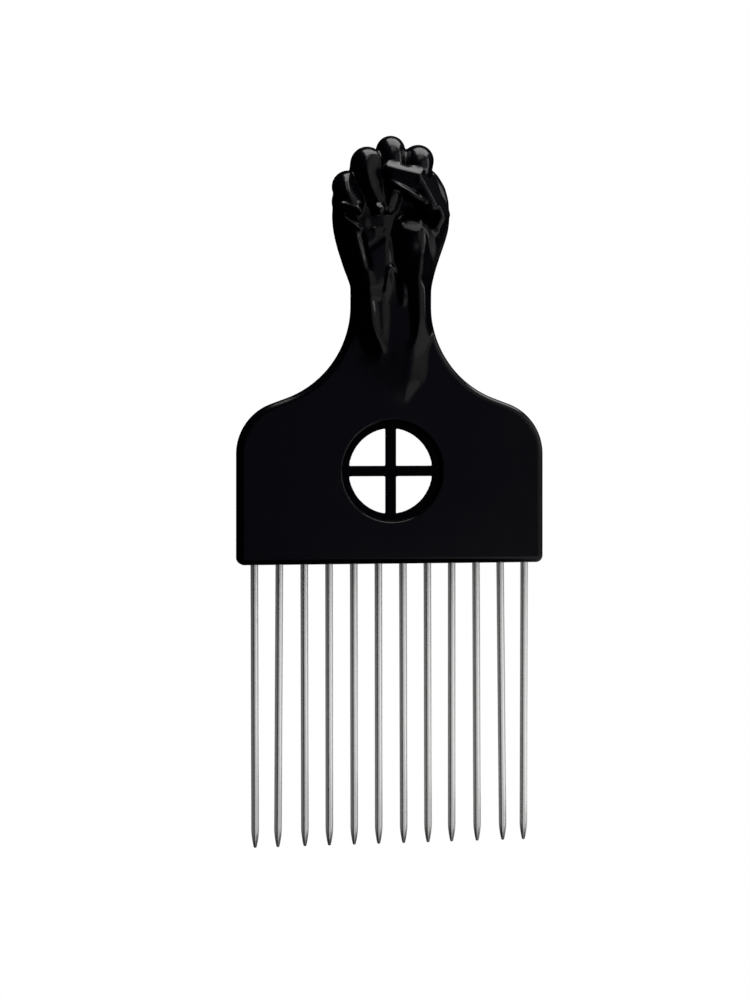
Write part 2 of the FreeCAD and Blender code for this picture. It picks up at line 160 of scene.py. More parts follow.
def slab(d2, y, r):
    """Flat plate of the outline d2, its two long edges rounded by r."""
    a, b = d2 + r, np.abs(y) - HALF_T + r
    return np.minimum(np.maximum(a, b), 0.0) + np.hypot(np.maximum(a, 0), np.maximum(b, 0)) - r


WIN_Z, WIN_R = 86.9, 9.96
REC_R, REC_ROUND, WEB = 11.8, 0.35, 0.8
BAR_W = 1.215


def plate_with_window(P):
    x, y, z = P.T
    body = slab(outline(x, z), y, EDGE)
    rho = np.hypot(x, z - WIN_Z)
    # round recess in both faces, its edge broken by a small radius
    body = np.maximum(body, slab(REC_R - rho, y, REC_ROUND))
    # what is left in the recess: a thin web with four quarters cut out of it
    quarter = np.minimum(np.maximum(rho - WIN_R, BAR_W - np.minimum(np.abs(x), np.abs(z - WIN_Z))), 1e9)
    web = np.maximum(np.maximum(np.abs(y) - WEB, -quarter), rho - REC_R - 1.0)
    return np.minimum(body, web)


# ---- forearm and palm: a rounded post whose palm side is a relief
ARM_X = table([(97, 0.0), (112, 0.1), (126, 0.2), (130, 0.1), (134, -0.2), (138, -0.2), (143, 0.0), (160, 0.0)])
ARM_W = table([(99, 15.0), (103, 14.6), (107, 13.4), (110.5, 12.0), (113, 11.0), (115, 10.3), (118, 9.5), (122, 9.15), (125, 9.05), (128.8, 9.2),
               (131.5, 9.95), (133.8, 10.7), (136.1, 11.45), (138.5, 12.25), (140.8, 12.95), (143.1, 13.5), (146, 13.75), (150, 13.5), (153, 12.6),
               (156, 10.8), (160, 7.0)], 0.6)
ARM_F = table([(99, 3.4), (101, 3.8), (106, 4.8), (112, 5.8), (118, 6.6), (125, 7.3), (131, 7.8), (137, 8.6), (143, 9.4), (148, 8.6), (154, 6.6), (160, 4.0)], 1.5)
ARM_B = table([(99, 2.2), (101, 2.6), (106, 3.4), (112, 4.6), (118, 5.7), (125, 6.6), (131, 7.0), (137, 7.4), (143, 8.0), (149, 8.6), (153, 8.6), (157, 7.4), (160, 5.5)], 1.5)

# Relief: for some image rows, (column, height above the mid-plane) of the same
# ten lines: far left, left, left crest, its flank, valley, foot of the right
# crest, right crest from, right crest to, right flank, far right.
RELIEF = [
    (196, [(330, 4.2), (342, 5.6), (352, 6.2), (357, 6.1), (385, 5.4), (393, 5.2), (404, 5.2), (424, 5.2), (436, 4.4), (452, 1.5)]),
    (209, [(330, 4.2), (342, 5.8), (352, 6.8), (357, 6.6), (385, 5.9), (393, 5.4), (404, 5.2), (424, 5.2), (436, 4.4), (452, 1.5)]),
    (219, [(330, 3.6), (342, 5.6), (353, 7.1), (357, 6.8), (386, 6.3), (393, 5.7), (404, 5.6), (424, 5.8), (436, 4.8), (452, 1.5)]),
    (232, [(331, 3.2), (342, 5.4), (356, 7.3), (360, 6.95), (387, 6.55), (393, 5.7), (403, 6.2), (424, 7.2), (428, 5.9), (451, 1.0)]),
    (243, [(334, 3.0), (346, 5.2), (359, 7.3), (363, 6.9), (387.5, 6.58), (393, 5.6), (402, 6.7), (424, 7.8), (427, 6.5), (447, 1.0)]),
    (255, [(337, 3.0), (349, 5.2), (362.5, 7.1), (366.5, 6.7), (388, 6.42), (393.5, 5.4), (402, 6.5), (423, 7.6), (425.8, 6.4), (442, 1.0)]),
    (266, [(341, 3.0), (352, 5.0), (366, 6.9), (370, 6.5), (388, 6.22), (394, 5.2), (402, 6.1), (422, 7.1), (424.8, 6.0), (438, 1.0)]),
    (277, [(345, 3.0), (355, 4.8), (368.5, 6.7), (372.5, 6.3), (388.5, 5.95), (394, 5.0), (403, 5.7), (420.5, 6.7), (423.5, 5.5), (434, 1.0)]),
    (286, [(348, 2.9), (356.5, 4.7), (369.5, 6.5), (375, 6.0), (389, 5.3), (396, 4.75), (405, 5.2), (419.5, 6.3), (426, 5.4), (433, 1.0)]),
    (293, [(349, 2.8), (357, 4.6), (370, 6.35), (378, 5.7), (389.5, 4.85), (396, 4.65), (407, 4.9), (419.5, 6.1), (426.5, 5.2), (433, 1.0)]),
    (305, [(349, 2.7), (357, 4.4), (370.5, 6.05), (380, 5.2), (389.5, 4.4), (398, 4.5), (410, 4.6), (419.5, 5.8), (426.5, 4.9), (433, 1.0)]),
    (320, [(348, 2.6), (356, 3.8), (371.8, 5.6), (380.5, 4.9), (389.5, 4.2), (399, 4.3), (412, 4.4), (419.5, 5.4), (426.5, 4.5), (434, 1.2)]),
    (335, [(343, 2.45), (359, 2.9), (375.5, 4.9), (382.5, 4.4), (389, 3.98), (398, 4.1), (412, 4.3), (418.5, 4.8), (427, 3.8), (437, 1.8)]),
    (345, [(340, 2.4), (363, 2.9), (380.5, 4.25), (385, 3.97), (389, 3.82), (397, 3.95), (407, 4.13), (416, 4.43), (427, 2.9), (439, 1.9)]),
    (353, [(334, 2.3), (366, 2.95), (382, 3.58), (386.5, 3.62), (389, 3.64), (396, 3.8), (404, 3.95), (414, 4.17), (427, 2.7), (440, 1.9)]),
    (370, [(326, 2.2), (343, 2.58), (376, 3.08), (384, 3.23), (390, 3.35), (396, 3.47), (402, 3.6), (411.5, 3.83), (427, 2.7), (440, 2.0)]),
    (382, [(320, 2.2), (342, 2.45), (374, 2.92), (383, 3.06), (390, 3.18), (396, 3.29), (402, 3.41), (410, 3.58), (427, 2.55), (438, 2.0)]),
    (392, [(318, 2.1), (342, 2.4), (374, 2.78), (383, 2.88), (390, 2.97), (396, 3.06), (401, 3.13), (408, 3.24), (420, 2.4), (436, 2.0)]),
    (402, [(318, 2.2), (342, 2.45), (374, 2.65), (383, 2.7), (390, 2.73), (396, 2.76), (401, 2.78), (407, 2.85), (410, 2.55), (430, 2.0)]),
    (418, [(318, 1.6), (342, 1.8), (374, 2.0), (383, 2.1), (390, 2.1), (396, 2.1), (401, 2.1), (406, 2.1), (409, 2.0), (430, 1.6)]),
]
GX0, GZ0, GSTEP = -18.0, 96.0, 0.2
GNX, GNZ = 181, 301


def blur(a, sigma, axis):
    n = int(math.ceil(3.5 * sigma))
    k = np.exp(-0.5 * (np.arange(-n, n + 1) / sigma) ** 2)
    k /= k.sum()
    pad = [(0, 0), (0, 0)]
    pad[axis] = (n, n)
    return np.apply_along_axis(lambda v: np.convolve(v, k, mode="valid"), axis, np.pad(a, pad, mode="edge"))


def make_relief():
    gx = GX0 + GSTEP * np.arange(GNX)
    gz = GZ0 + GSTEP * np.arange(GNZ)
    rows = []
    for row, line in RELIEF:
        pts = [at(c, row, -h) for c, h in line]
        rows.append((np.mean([p[2] for p in pts]), [p[0] for p in pts], [h for c, h in line]))
    rows.sort()
    rz = np.array([r[0] for r in rows])
    rx = np.array([r[1] for r in rows])
    rh = np.array([r[2] for r in rows])
    kx = np.stack([np.interp(gz, rz, rx[:, i]) for i in range(rx.shape[1])], 1)
    kh = np.stack([np.interp(gz, rz, rh[:, i]) for i in range(rh.shape[1])], 1)
    H = np.stack([np.interp(gx, kx[j], kh[j]) for j in range(GNZ)], 1)
    X, Z = np.meshgrid(gx, gz, indexing="ij")

    def along(pts, depth=-6.5):
        """Distance to a line drawn in the picture, and how far along it."""
        q = [at(c, r, depth)[[0, 2]] for c, r in pts]
        best, where = np.full(X.shape, 1e9), np.zeros(X.shape)
        total = sum(np.linalg.norm(b - a) for a, b in zip(q, q[1:]))
        done = 0.0
        side = np.zeros(X.shape)
        for a, b in zip(q, q[1:]):
            ab = b - a
            ln = np.linalg.norm(ab)
            t = np.clip(((X - a[0]) * ab[0] + (Z - a[1]) * ab[1]) / ln ** 2, 0, 1)
            dx, dz = X - a[0] - t * ab[0], Z - a[1] - t * ab[1]
            d = np.hypot(dx, dz)
            m = d < best
            best = np.where(m, d, best)
            where = np.where(m, (done + t * ln) / total, where)
            side = np.where(m, np.sign(ab[0] * dz - ab[1] * dx), side)
            done += ln
        return best, where, side

    def fold(pts, amount, width, taper=0.15):
        """Groove (negative) or ridge (positive) along a line, fading at its ends."""
        d, t, s = along(pts)
        fade = np.clip(np.minimum(t, 1 - t) / taper, 0, 1)
        return amount * np.exp(-(d / width) ** 2) * fade

    def facet(poly, right, up, soft):
        """Tilt the relief inside a convex outline drawn in the picture (clockwise)."""
        q = [at(c, r, -6.5)[[0, 2]] for c, r in poly]
        inside = np.full(X.shape, 1e9)
        for a, b in zip(q, q[1:] + q[:1]):
            e = (b - a) / np.linalg.norm(b - a)
            inside = np.minimum(inside, (X - a[0]) * e[1] - (Z - a[1]) * e[0])
        t = np.clip(inside / soft, 0, 1)
        xc, zc = np.mean([v[0] for v in q]), np.mean([v[1] for v in q])
        return t * t * (3 - 2 * t) * (right * (X - xc) + up * (Z - zc))

    H = blur(blur(H, 0.30 / GSTEP, 0), 0.6 / GSTEP, 1)
    # palm: small faces and the creases round them
    H = H + facet([(371, 226), (391, 226), (373, 246)], -0.2, 0.05, 1.0)
    H = H + fold([(366, 223), (378, 224.5), (391, 223.5)], -0.18, 0.8)
    H = H + fold([(392, 231), (378, 241), (367, 250)], -0.28, 0.85)
    H = H + fold([(359.5, 229), (364, 248), (369.5, 272)], -0.66, 0.7)
    # tongue below the palm: a flat middle inside a sloping edge
    H = H + facet([(371, 296), (389, 296), (390, 322), (387, 342), (377, 330)], 0.26, 0.0, 1.3)
    H = H + fold([(369, 289), (378, 289.5), (386, 289)], -0.2, 0.6, 0.2)
    # small tendon and the arch above it
    H = H + fold([(387, 299), (388.5, 280), (390, 270.5), (392.5, 267), (395.5, 270), (399, 281)], 0.34, 0.62, 0.2)
    H = H + fold([(388.5, 271.5), (392.3, 266.5), (396.5, 272)], 0.5, 0.55, 0.35)
    H = H + fold([(400, 278), (404.5, 290), (405, 307)], 0.32, 0.8, 0.3)
    H = blur(blur(H, 0.22 / GSTEP, 0), 0.22 / GSTEP, 1)
    gxv = np.gradient(H, GSTEP, axis=0)
    gzv = np.gradient(H, GSTEP, axis=1)
    return H, 1.0 / np.sqrt(1.0 + gxv ** 2 + gzv ** 2)


RH, RC = make_relief()


def spline4(t):
    return ((1 - t) ** 3 / 6, (3 * t ** 3 - 6 * t ** 2 + 4) / 6, (-3 * t ** 3 + 3 * t ** 2 + 3 * t + 1) / 6, t ** 3 / 6)


def relief(x, z):
    u = np.clip((x - GX0) / GSTEP, 1.001, GNX - 3.001)
    v = np.clip((z - GZ0) / GSTEP, 1.001, GNZ - 3.001)
    i, j = u.astype(int), v.astype(int)
    wu, wv = spline4(u - i), spline4(v - j)
    h = 0.0
    for a in range(4):
        for b in range(4):
            h = h + wu[a] * wv[b] * RH[i + a - 1, j + b - 1]
    return h, RC[i, j]


def forearm(P):
    x, y, z = P.T
    a = ARM_W(z)
    b = np.where(y < 0, ARM_F(z), ARM_B(z))
    n = np.where(y < 0, 3.2, 2.3)
    qx, qy = np.abs(x - ARM_X(z)) / a, np.abs(y) / b
    q = np.maximum((qx ** n + qy ** n) ** (1 / n), 1e-6)
    g = np.hypot((qx / q) ** (n - 1) / a, (qy / q) ** (n - 1) / b)
    d = (q - 1.0) / np.maximum(g, 0.04)
    h, c = relief(x, z)
    d = smax(d, (-h - y) * c, 0.6)
    d = smax(d, z - 158.5, 3.0)
    return smax(d, 100.2 - z, 1.0)


# ---- fingers and thumb: round tubes along smooth lines, flattened where the
# sculptor flattened them
def tube(P, ctrl, step=0.45):
    """Tube through (point, radius) pairs along a smooth line."""
    c = np.array([list(p) + [r] for p, r in ctrl], float)
    e = np.vstack([2 * c[0] - c[1], c, 2 * c[-1] - c[-2]])
    pts = []
    for i in range(1, len(e) - 2):
        n = max(3, int(np.linalg.norm(e[i + 1, :3] - e[i, :3]) / step))
        for t in np.arange(n) / n:
            pts.append(0.5 * (2 * e[i] + (e[i + 1] - e[i - 1]) * t + (2 * e[i - 1] - 5 * e[i] + 4 * e[i + 1] - e[i + 2]) * t * t
                              + (3 * e[i] - e[i - 1] - 3 * e[i + 1] + e[i + 2]) * t ** 3))
    pts = np.array(pts + [c[-1]])
    lo = (pts[:, :3] - pts[:, 3:]).min(0)
    hi = (pts[:, :3] + pts[:, 3:]).max(0)
    q = np.maximum(np.maximum(lo - P, P - hi), 0)
    out = np.sqrt((q * q).sum(1))
    near = out < 2.0
    Q = P[near]
    # nearest sample, then the lowest point of the parabola through its neighbours
    best = np.full(len(Q), 1e9)
    ga, gb = None, None
    for k, a in enumerate(pts):
        g = np.sqrt((Q[:, 0] - a[0]) ** 2 + (Q[:, 1] - a[1]) ** 2 + (Q[:, 2] - a[2]) ** 2) - a[3]
        if k == 0 or k == len(pts) - 1:
            best = np.minimum(best, g)
        if k >= 2:
            bend = ga - 2 * gb + g
            low = (gb <= ga) & (gb <= g) & (bend > 1e-9)
            v = gb - 0.125 * (ga - g) ** 2 / np.where(low, bend, 1.0)
            best = np.where(low, np.minimum(best, v), best)
        ga, gb = gb, g
    out[near] = best
    return out


def flat(d, P, p0, p1, normal, k, ease=0.0):
    """Cut d by the plane through p0 and p1 that faces along normal; with ease, the plane draws off past both."""
    p0, p1 = np.asarray(p0, float), np.asarray(p1, float)
    e = p1 - p0
    ln = np.linalg.norm(e)
    e = e / ln
    n = np.asarray(normal, float)
    n = n - (n @ e) * e
    n = n / np.linalg.norm(n)
    cut = (P - p0) @ n
    if ease:
        t = (P - p0) @ e
        cut = cut - ease * np.maximum(np.maximum(-t, t - ln), 0.0)
    return smax(d, cut, k)


def seen(right, toward, up):
    """Direction given as seen from the camera."""
    return np.array([right * CY - toward * SY, -right * SY - toward * CY, up])


def fist(P):
    hand = forearm(P)

    # back of the hand: a low ridge behind each finger
    for low, top in (((-5.2, 3.4, 138), (-9.4, 4.6, 150.0)), ((-2.2, 4.0, 138), (-5.2, 5.0, 154.2)),
                     ((0.9, 4.0, 138), (0.3, 5.2, 156.6)), ((4.0, 3.8, 138), (6.0, 5.0, 155.2))):
        hand = smin(hand, tube(P, [(low, 3.0), (0.5 * np.add(low, top), 3.4), (top, 3.7)], 1.2), 1.2)

    # fold under the little finger: a furrow with a lip below it
    furrow = tube(P, [(at(338, 207.5, -5.9), 0.7), (at(342, 210.5, -6.5), 1.0), (at(350, 217, -7.3), 1.1), (at(359, 224.5, -7.9), 0.8)])
    hand = smax(hand, -furrow, 0.3)
    lip = tube(P, [(at(339.5, 213.5, -5.6), 0.45), (at(347, 219.5, -6.7), 0.65), (at(359.5, 229, -7.0), 0.5)])
    hand = smin(hand, lip, 0.4)

    # ball of the thumb
    t_ball = at(409, 236, -3.5)
    ball = tube(P, [(t_ball, 4.8), (at(409.5, 256, -1.8), 4.6), (at(411, 276, 0.0), 4.2)])
    ahead = seen(-0.03, 1.0, 0.0)
    ball = flat(ball, P, t_ball + 4.35 * ahead, t_ball + 4.35 * ahead + np.array([0, 0, 1.0]), ahead, 0.6)
    brow = seen(0.06, 0.87, 0.48)
    ball = flat(ball, P, t_ball + 4.3 * brow, t_ball + 4.3 * brow + np.array([1.0, 0, 0]), brow, 0.4)
    hand = smin(hand, ball, 1.0)

    # thumb: across the front, its back turned up
    t_mcp, t_ip, t_mid, t_tip = at(436, 212, -5.2), at(423, 182.5, -6.8), at(404.5, 179, -7.4), at(391, 171, -7.3)
    t_base = at(425.5, 234, -2.9)
    near = tube(P, [(at(421, 256, -0.8), 3.0), (t_base, 3.6), (t_mcp, 3.4), (at(430, 198.5, -6.2), 3.4), (t_ip, 3.4)])
    far = tube(P, [(at(430, 198.5, -6.2), 3.4), (t_ip, 3.4), (t_mid, 3.0), (t_tip, 2.3)])
    side = seen(-0.05, 1.0, 0.0)
    near = flat(near, P, t_mcp + 2.9 * side, t_ip + 2.9 * side, side, 0.5, 0.4)
    near = flat(near, P, t_base + 3.35 * side, t_mcp + 2.9 * side, side, 0.5, 0.4)
    front = seen(-0.05, 1.0, -0.10)
    far = flat(far, P, t_ip + 2.9 * front, t_tip + 2.0 * front, front, 0.5)
    top = seen(0.05, 0.70, 0.71)
    far = flat(far, P, t_ip + 3.17 * top, t_mid + 2.8 * top, top, 0.3)
    thumb = smin(near, far, 0.3)
    # its right flank, met by the front in a narrow ridge
    right = seen(0.91, 0.40, 0.10)
    thumb = flat(thumb, P, at(422, 176, -9.5), at(445, 217, -8.2), right, 0.75, 0.4)
    thumb = flat(thumb, P, at(445, 217, -8.2), at(434, 238, -6.3), right, 0.45, 0.4)
    hand = smin(hand, thumb, 0.9)
    # narrow face below the thumb's root
    heel = seen(0.69, 0.72, 0.05)
    hand = flat(hand, P, at(437.5, 233, -5.65), at(429.5, 256, -6.15), heel, 0.15, 1.2)
    # lip along the thumb's lower edge
    hand = smin(hand, tube(P, [(at(391.5, 182, -8.7), 0.55), (at(408, 192, -9.3), 0.75), (at(424, 201.5, -8.6), 0.6)]), 0.7)

    p_pip, p_dip = at(348, 187, -3.2), at(351.5, 201, -5.6)
    little = tube(P, [((-9.4, 4.8, 149.8), 3.6), ((-9.7, 0.8, 152.2), 3.75), (p_pip, 3.75), (at(349.5, 195, -5.2), 3.3),
                      (p_dip, 2.8), (at(354, 206, -4.4), 2.4)])
    r36 = seen(0.59, 0.81, 0.05)
    little = flat(little, P, p_pip + 3.45 * r36, p_dip + 2.5 * r36, r36, 0.4)
    r_pip, r_dip = at(367.5, 163.5, -4.0), at(376.5, 196, -5.8)
    ring = tube(P, [((-5.2, 5.2, 154.4), 4.0), ((-5.6, 0.8, 157.2), 3.95), (r_pip, 3.75), (at(372, 180, -5.8), 3.2),
                    (r_dip, 2.5), (at(379, 206, -4.4), 2.1)])
    ring = flat(ring, P, r_pip + 3.5 * r36, r_dip + 2.25 * r36, r36, 0.4)
    middle = tube(P, [((0.3, 5.4, 156.8), 4.0), ((0.0, 1.2, 160.0), 3.7), (at(390.8, 150.5, -3.2), 3.3), (at(392, 166, -5.0), 3.0),
                      (at(392, 188, -5.6), 2.6), (at(387, 206, -5.0), 2.4)])
    index = tube(P, [((6.0, 5.2, 155.4), 4.1), ((6.1, 0.8, 158.4), 4.0), (at(418.6, 161, -3.8), 3.5), (at(417, 175, -5.0), 3.2),
                     (at(412, 190, -4.6), 2.9)])
    # side of the ring finger, seen between it and the little finger
    web = tube(P, [(at(363.5, 176, -3.6), 1.3), (at(366.5, 192, -4.8), 1.3), (at(369, 207, -4.6), 1.2)])
    # fingertips, each with a small face that looks up
    c1, c2 = at(349.5, 209.5, -7.4), at(379, 208.5, -7.4)
    along, shine = at(359, 212.5, -7.4) - at(340, 206.5, -7.4), seen(0.05, 0.78, 0.62)
    tip1 = flat(egg(P, c1, (3.1, 1.9, 1.9), along), P, c1 + 1.62 * shine, c1 + 1.62 * shine + along, shine, 0.3)
    under = seen(0.0, 0.5, -0.87)
    tip1 = flat(tip1, P, c1 + 0.2 * under, c1 + 0.2 * under + along, under, 0.5)
    tip2 = flat(egg(P, c2, (1.5, 1.5, 1.5)), P, c2 + 1.32 * shine, c2 + 1.32 * shine + along, shine, 0.3)
    tips = smin(tip1, tip2, 0.2)
    f = smin(smin(little, smin(ring, web, 0.6), 0.8), smin(middle, index, 0.8), 0.6)
    f = smin(f, tips, 0.7)
    return smin(hand, f, 0.5)


def handle(P):
    z = P[:, 2]
    d = np.full(len(P), 1e3)
    low, high = z < 136.0, z > 98.0
    d[low] = plate_with_window(P[low])
    both = low & high
    f = fist(P[high])
    e = d[high]
    d[high] = np.where(both[high], smin(e, f, 0.25), f)
    return d


def steps(parts):
    out = [parts[0][0]]
    for lo, hi, h in parts:
        n = max(1, int(math.ceil((hi - lo) / h - 1e-6)))
        out += list(np.linspace(lo, hi, n + 1)[1:])
    return np.array(out)


def in_turns(fn, P, size=400000):
    return np.concatenate([fn(P[i:i + size]) for i in range(0, len(P), size)])


def skin(fn, xs, ys, zs, block=8):
    """Closed quad mesh of fn = 0 on a grid, drawn onto the surface itself."""
    nx, ny, nz = len(xs), len(ys), len(zs)
    field = np.full((nx, ny, nz), 1e3, np.float64)
    # blocks near the surface are sampled in full, the others only for their sign
    todo = []
    for i in range(0, nx, block):
        for j in range(0, ny, block):
            for k in range(0, nz, block):
                i1, j1, k1 = min(i + block, nx) - 1, min(j + block, ny) - 1, min(k + block, nz) - 1
                c = (xs[[i, i1]].mean(), ys[[j, j1]].mean(), zs[[k, k1]].mean())
                r = 0.5 * math.sqrt((xs[i1] - xs[i]) ** 2 + (ys[j1] - ys[j]) ** 2 + (zs[k1] - zs[k]) ** 2)
                todo.append((i, j, k, c, r))
    dc = in_turns(fn, np.array([t[3] for t in todo]))
    near = [t for t, d in zip(todo, dc) if abs(d) < 1.6 * t[4] + 1.2]
    for (i, j, k, c, r), d in zip(todo, dc):
        if abs(d) >= 1.6 * r + 1.2:
            field[i:i + block, j:j + block, k:k + block] = math.copysign(1e3, d)
    for s in range(0, len(near), 400):
        pts, spans = [], []
        for i, j, k, c, r in near[s:s + 400]:
            gx, gy, gz = np.meshgrid(xs[i:i + block], ys[j:j + block], zs[k:k + block], indexing="ij")
            pts.append(np.stack([gx.ravel(), gy.ravel(), gz.ravel()], 1))
            spans.append((i, j, k, gx.shape))
        d = in_turns(fn, np.concatenate(pts))
        o = 0
        for i, j, k, sh in spans:
            n = sh[0] * sh[1] * sh[2]
            field[i:i + sh[0], j:j + sh[1], k:k + sh[2]] = d[o:o + n].reshape(sh)
            o += n
    neg = field < 0
    cells = np.zeros((nx - 1, ny - 1, nz - 1), np.int8)
    corners = [(a, b, c) for a in (0, 1) for b in (0, 1) for c in (0, 1)]
    for a, b, c in corners:
        cells += neg[a:nx - 1 + a, b:ny - 1 + b, c:nz - 1 + c]
    ci, cj, ck = np.nonzero((cells > 0) & (cells < 8))
    ident = np.full(cells.shape, -1, np.int64)
    ident[ci, cj, ck] = np.arange(len(ci))
    acc, cnt = np.zeros((len(ci), 3)), np.zeros(len(ci))
    for p in corners:
        for ax in range(3):
            if p[ax]:
                continue
            q = list(p)
            q[ax] = 1
            ia, ja, ka = ci + p[0], cj + p[1], ck + p[2]
            ib, jb, kb = ci + q[0], cj + q[1], ck + q[2]
            da, db = field[ia, ja, ka], field[ib, jb, kb]
            hit = (da < 0) != (db < 0)
            t = np.where(hit, da / np.where(hit, da - db, 1.0), 0.0)
            pa = np.stack([xs[ia], ys[ja], zs[ka]], 1)
            pb = np.stack([xs[ib], ys[jb], zs[kb]], 1)
            acc += np.where(hit[:, None], pa + t[:, None] * (pb - pa), 0.0)
            cnt += hit
    V = acc / cnt[:, None]
    faces = []
    for ax in range(3):
        o1, o2 = [a for a in range(3) if a != ax]
        lo = [slice(None)] * 3
        hi = [slice(None)] * 3
        lo[ax], hi[ax] = slice(0, -1), slice(1, None)
        sa, sb = neg[tuple(lo)], neg[tuple(hi)]
        e = np.stack(np.nonzero(sa != sb), 1)
        inner = (e[:, o1] > 0) & (e[:, o2] > 0)
        inner &= (e[:, o1] < cells.shape[o1]) & (e[:, o2] < cells.shape[o2])
        e = e[inner]
        quad = []
        for d1, d2 in ((-1, -1), (0, -1), (0, 0), (-1, 0)):
            c = e.copy()
            c[:, o1] += d1
            c[:, o2] += d2
            quad.append(ident[c[:, 0], c[:, 1], c[:, 2]])
        quad = np.stack(quad, 1)
        out = sa[e[:, 0], e[:, 1], e[:, 2]]
        if ax == 1:
            out = ~out
        quad = np.where(out[:, None], quad, quad[:, ::-1])
        faces.append(quad)
    return V, np.concatenate(faces)


def slope(fn, P, h=0.02):
    g = np.empty_like(P)
    for ax in range(3):
        e = np.zeros(3)
        e[ax] = h
        g[:, ax] = (in_turns(fn, P + e) - in_turns(fn, P - e)) / (2 * h)
    return g


def settle(fn, V, rounds=2):
    for _ in range(rounds):
        d = in_turns(fn, V)
        g = np.stack([(in_turns(fn, V + e) - d) / 0.02 for e in 0.02 * np.eye(3)], 1)
        n2 = np.maximum((g * g).sum(1), 0.05)
        step = (d / n2)[:, None] * g
        size = np.linalg.norm(step, axis=1)
        step *= np.minimum(1.0, 0.25 / np.maximum(size, 1e-9))[:, None]
        V = V - step
    g = slope(fn, V)
    return V, g / np.maximum(np.linalg.norm(g, axis=1), 1e-9)[:, None]


def mesh_from(name, V, faces, normals=None):
    me = bpy.data.meshes.new(name)
    me.vertices.add(len(V))
    me.vertices.foreach_set("co", (V / 1000.0).astype(np.float32).ravel())
    me.loops.add(faces.size)
    me.loops.foreach_set("vertex_index", faces.astype(np.int32).ravel())
    me.polygons.add(len(faces))
    me.polygons.foreach_set("loop_start", np.arange(0, faces.size, faces.shape[1], dtype=np.int32))
    me.update(calc_edges=True)
    me.validate()
    me.polygons.foreach_set("use_smooth", np.ones(len(me.polygons), bool))
    if normals is not None:
        me.normals_split_custom_set_from_vertices(normals.astype(np.float32))
    ob = bpy.data.objects.new(name, me)
    bpy.context.scene.collection.objects.link(ob)
    return ob


fine = 0.335
xs = steps([(-37.0, -33.6, 0.35), (-33.6, -15.6, 0.9), (-15.6, 15.6, fine), (15.6, 33.6, 0.9), (33.6, 37.0, 0.35)])
ys = steps([(-12.0, -3.2, fine), (-3.2, 3.2, fine), (3.2, 11.5, fine)])
zs = steps([(64.4, 68.0, 0.35), (68.0, 73.0, 0.8), (73.0, 101.0, 0.32), (101.0, 167.0, fine)])
V, faces = skin(handle, xs, ys, zs)
V, N = settle(handle, V)
print("handle mesh", len(V), len(faces))
body = mesh_from("fist_handle", V, faces, N)
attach(body, "root")
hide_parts("handle")


# ---------------------------------------------------------------------------
# Pins: drawn wire with a ground point, one lathe each
# ---------------------------------------------------------------------------
PIN_R, PIN_L, PIN_ROOT, PITCH = 0.9, 65.35, 8.0, 5.81
LEANS = [0.17, -0.29, 0.15, 0.07, 0.11, 0.08, 0.17, 0.15, 0.0, 0.26, 0.56, -0.18]


def pin_profile():
    """(radius, distance below the plate) from the root to the tip."""
    rows = [(0.62, -PIN_ROOT), (0.9, -PIN_ROOT + 0.25), (0.9, -1.0), (0.9, 0.0)]
    rows += [(0.9, s) for s in np.linspace(3.0, PIN_L - 4.6, 22)]
    start, tip = PIN_L - 4.2, 0.40
    for t in np.linspace(0, 1, 13)[1:]:
        rows.append((tip + (PIN_R - tip) * (1 - t ** 1.7), start + t * (4.2 - tip)))
    for a in np.linspace(0, math.pi / 2, 7)[1:-1]:
        rows.append((tip * math.cos(a), PIN_L - tip + tip * math.sin(a)))
    return rows


def lathe(name, rows, sides, top, lean):
    ang = np.arange(sides) * 2 * math.pi / sides
    ring = np.stack([np.cos(ang), np.sin(ang)], 1)
    pts = [np.column_stack([ring * r, np.full(sides, -s)]) for r, s in rows]
    V = np.concatenate(pts + [np.array([[0, 0, -rows[0][1]]]), np.array([[0, 0, -PIN_L]])])
    n = len(rows)
    quads, tris = [], []
    for i in range(n - 1):
        a = np.arange(sides) + i * sides
        b = (np.arange(sides) + 1) % sides + i * sides
        quads.append(np.stack([a, a + sides, b + sides, b], 1))
    c0, c1 = n * sides, n * sides + 1
    j = np.arange(sides)
    k = (j + 1) % sides
    tris.append(np.stack([np.full(sides, c0), j, k], 1))
    tris.append(np.stack([np.full(sides, c1), k + (n - 1) * sides, j + (n - 1) * sides], 1))
    c, s = math.cos(lean), math.sin(lean)
    V = np.column_stack([V[:, 0] * c - V[:, 2] * s, V[:, 1], V[:, 0] * s + V[:, 2] * c]) + top
    me = bpy.data.meshes.new(name)
    me.from_pydata((V / 1000.0).tolist(), [], np.concatenate(quads).tolist() + np.concatenate(tris).tolist())
    me.polygons.foreach_set("use_smooth", np.ones(len(me.polygons), bool))
    me.update()
    ob = bpy.data.objects.new(name, me)
    bpy.context.scene.collection.objects.link(ob)
    return ob


pins = []
for i in range(12):
    p = lathe("pin_%02d" % (i + 1), pin_profile(), 40, np.array([(i - 5.5) * PITCH, 0.0, LOW]), math.radians(LEANS[i]))
    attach(p, "root")
    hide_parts("tine_%02d" % (i + 1))
    pins.append(p)


# ---------------------------------------------------------------------------
# Materials
# ---------------------------------------------------------------------------
def new_material(name):
    m = bpy.data.materials.new(name)
    m.use_nodes = True
    nt = m.node_tree
    nt.nodes.clear()
    out = nt.nodes.new("ShaderNodeOutputMaterial")
    sh = nt.nodes.new("ShaderNodeBsdfPrincipled")
    nt.links.new(sh.outputs["BSDF"], out.inputs["Surface"])
    return m, nt, sh


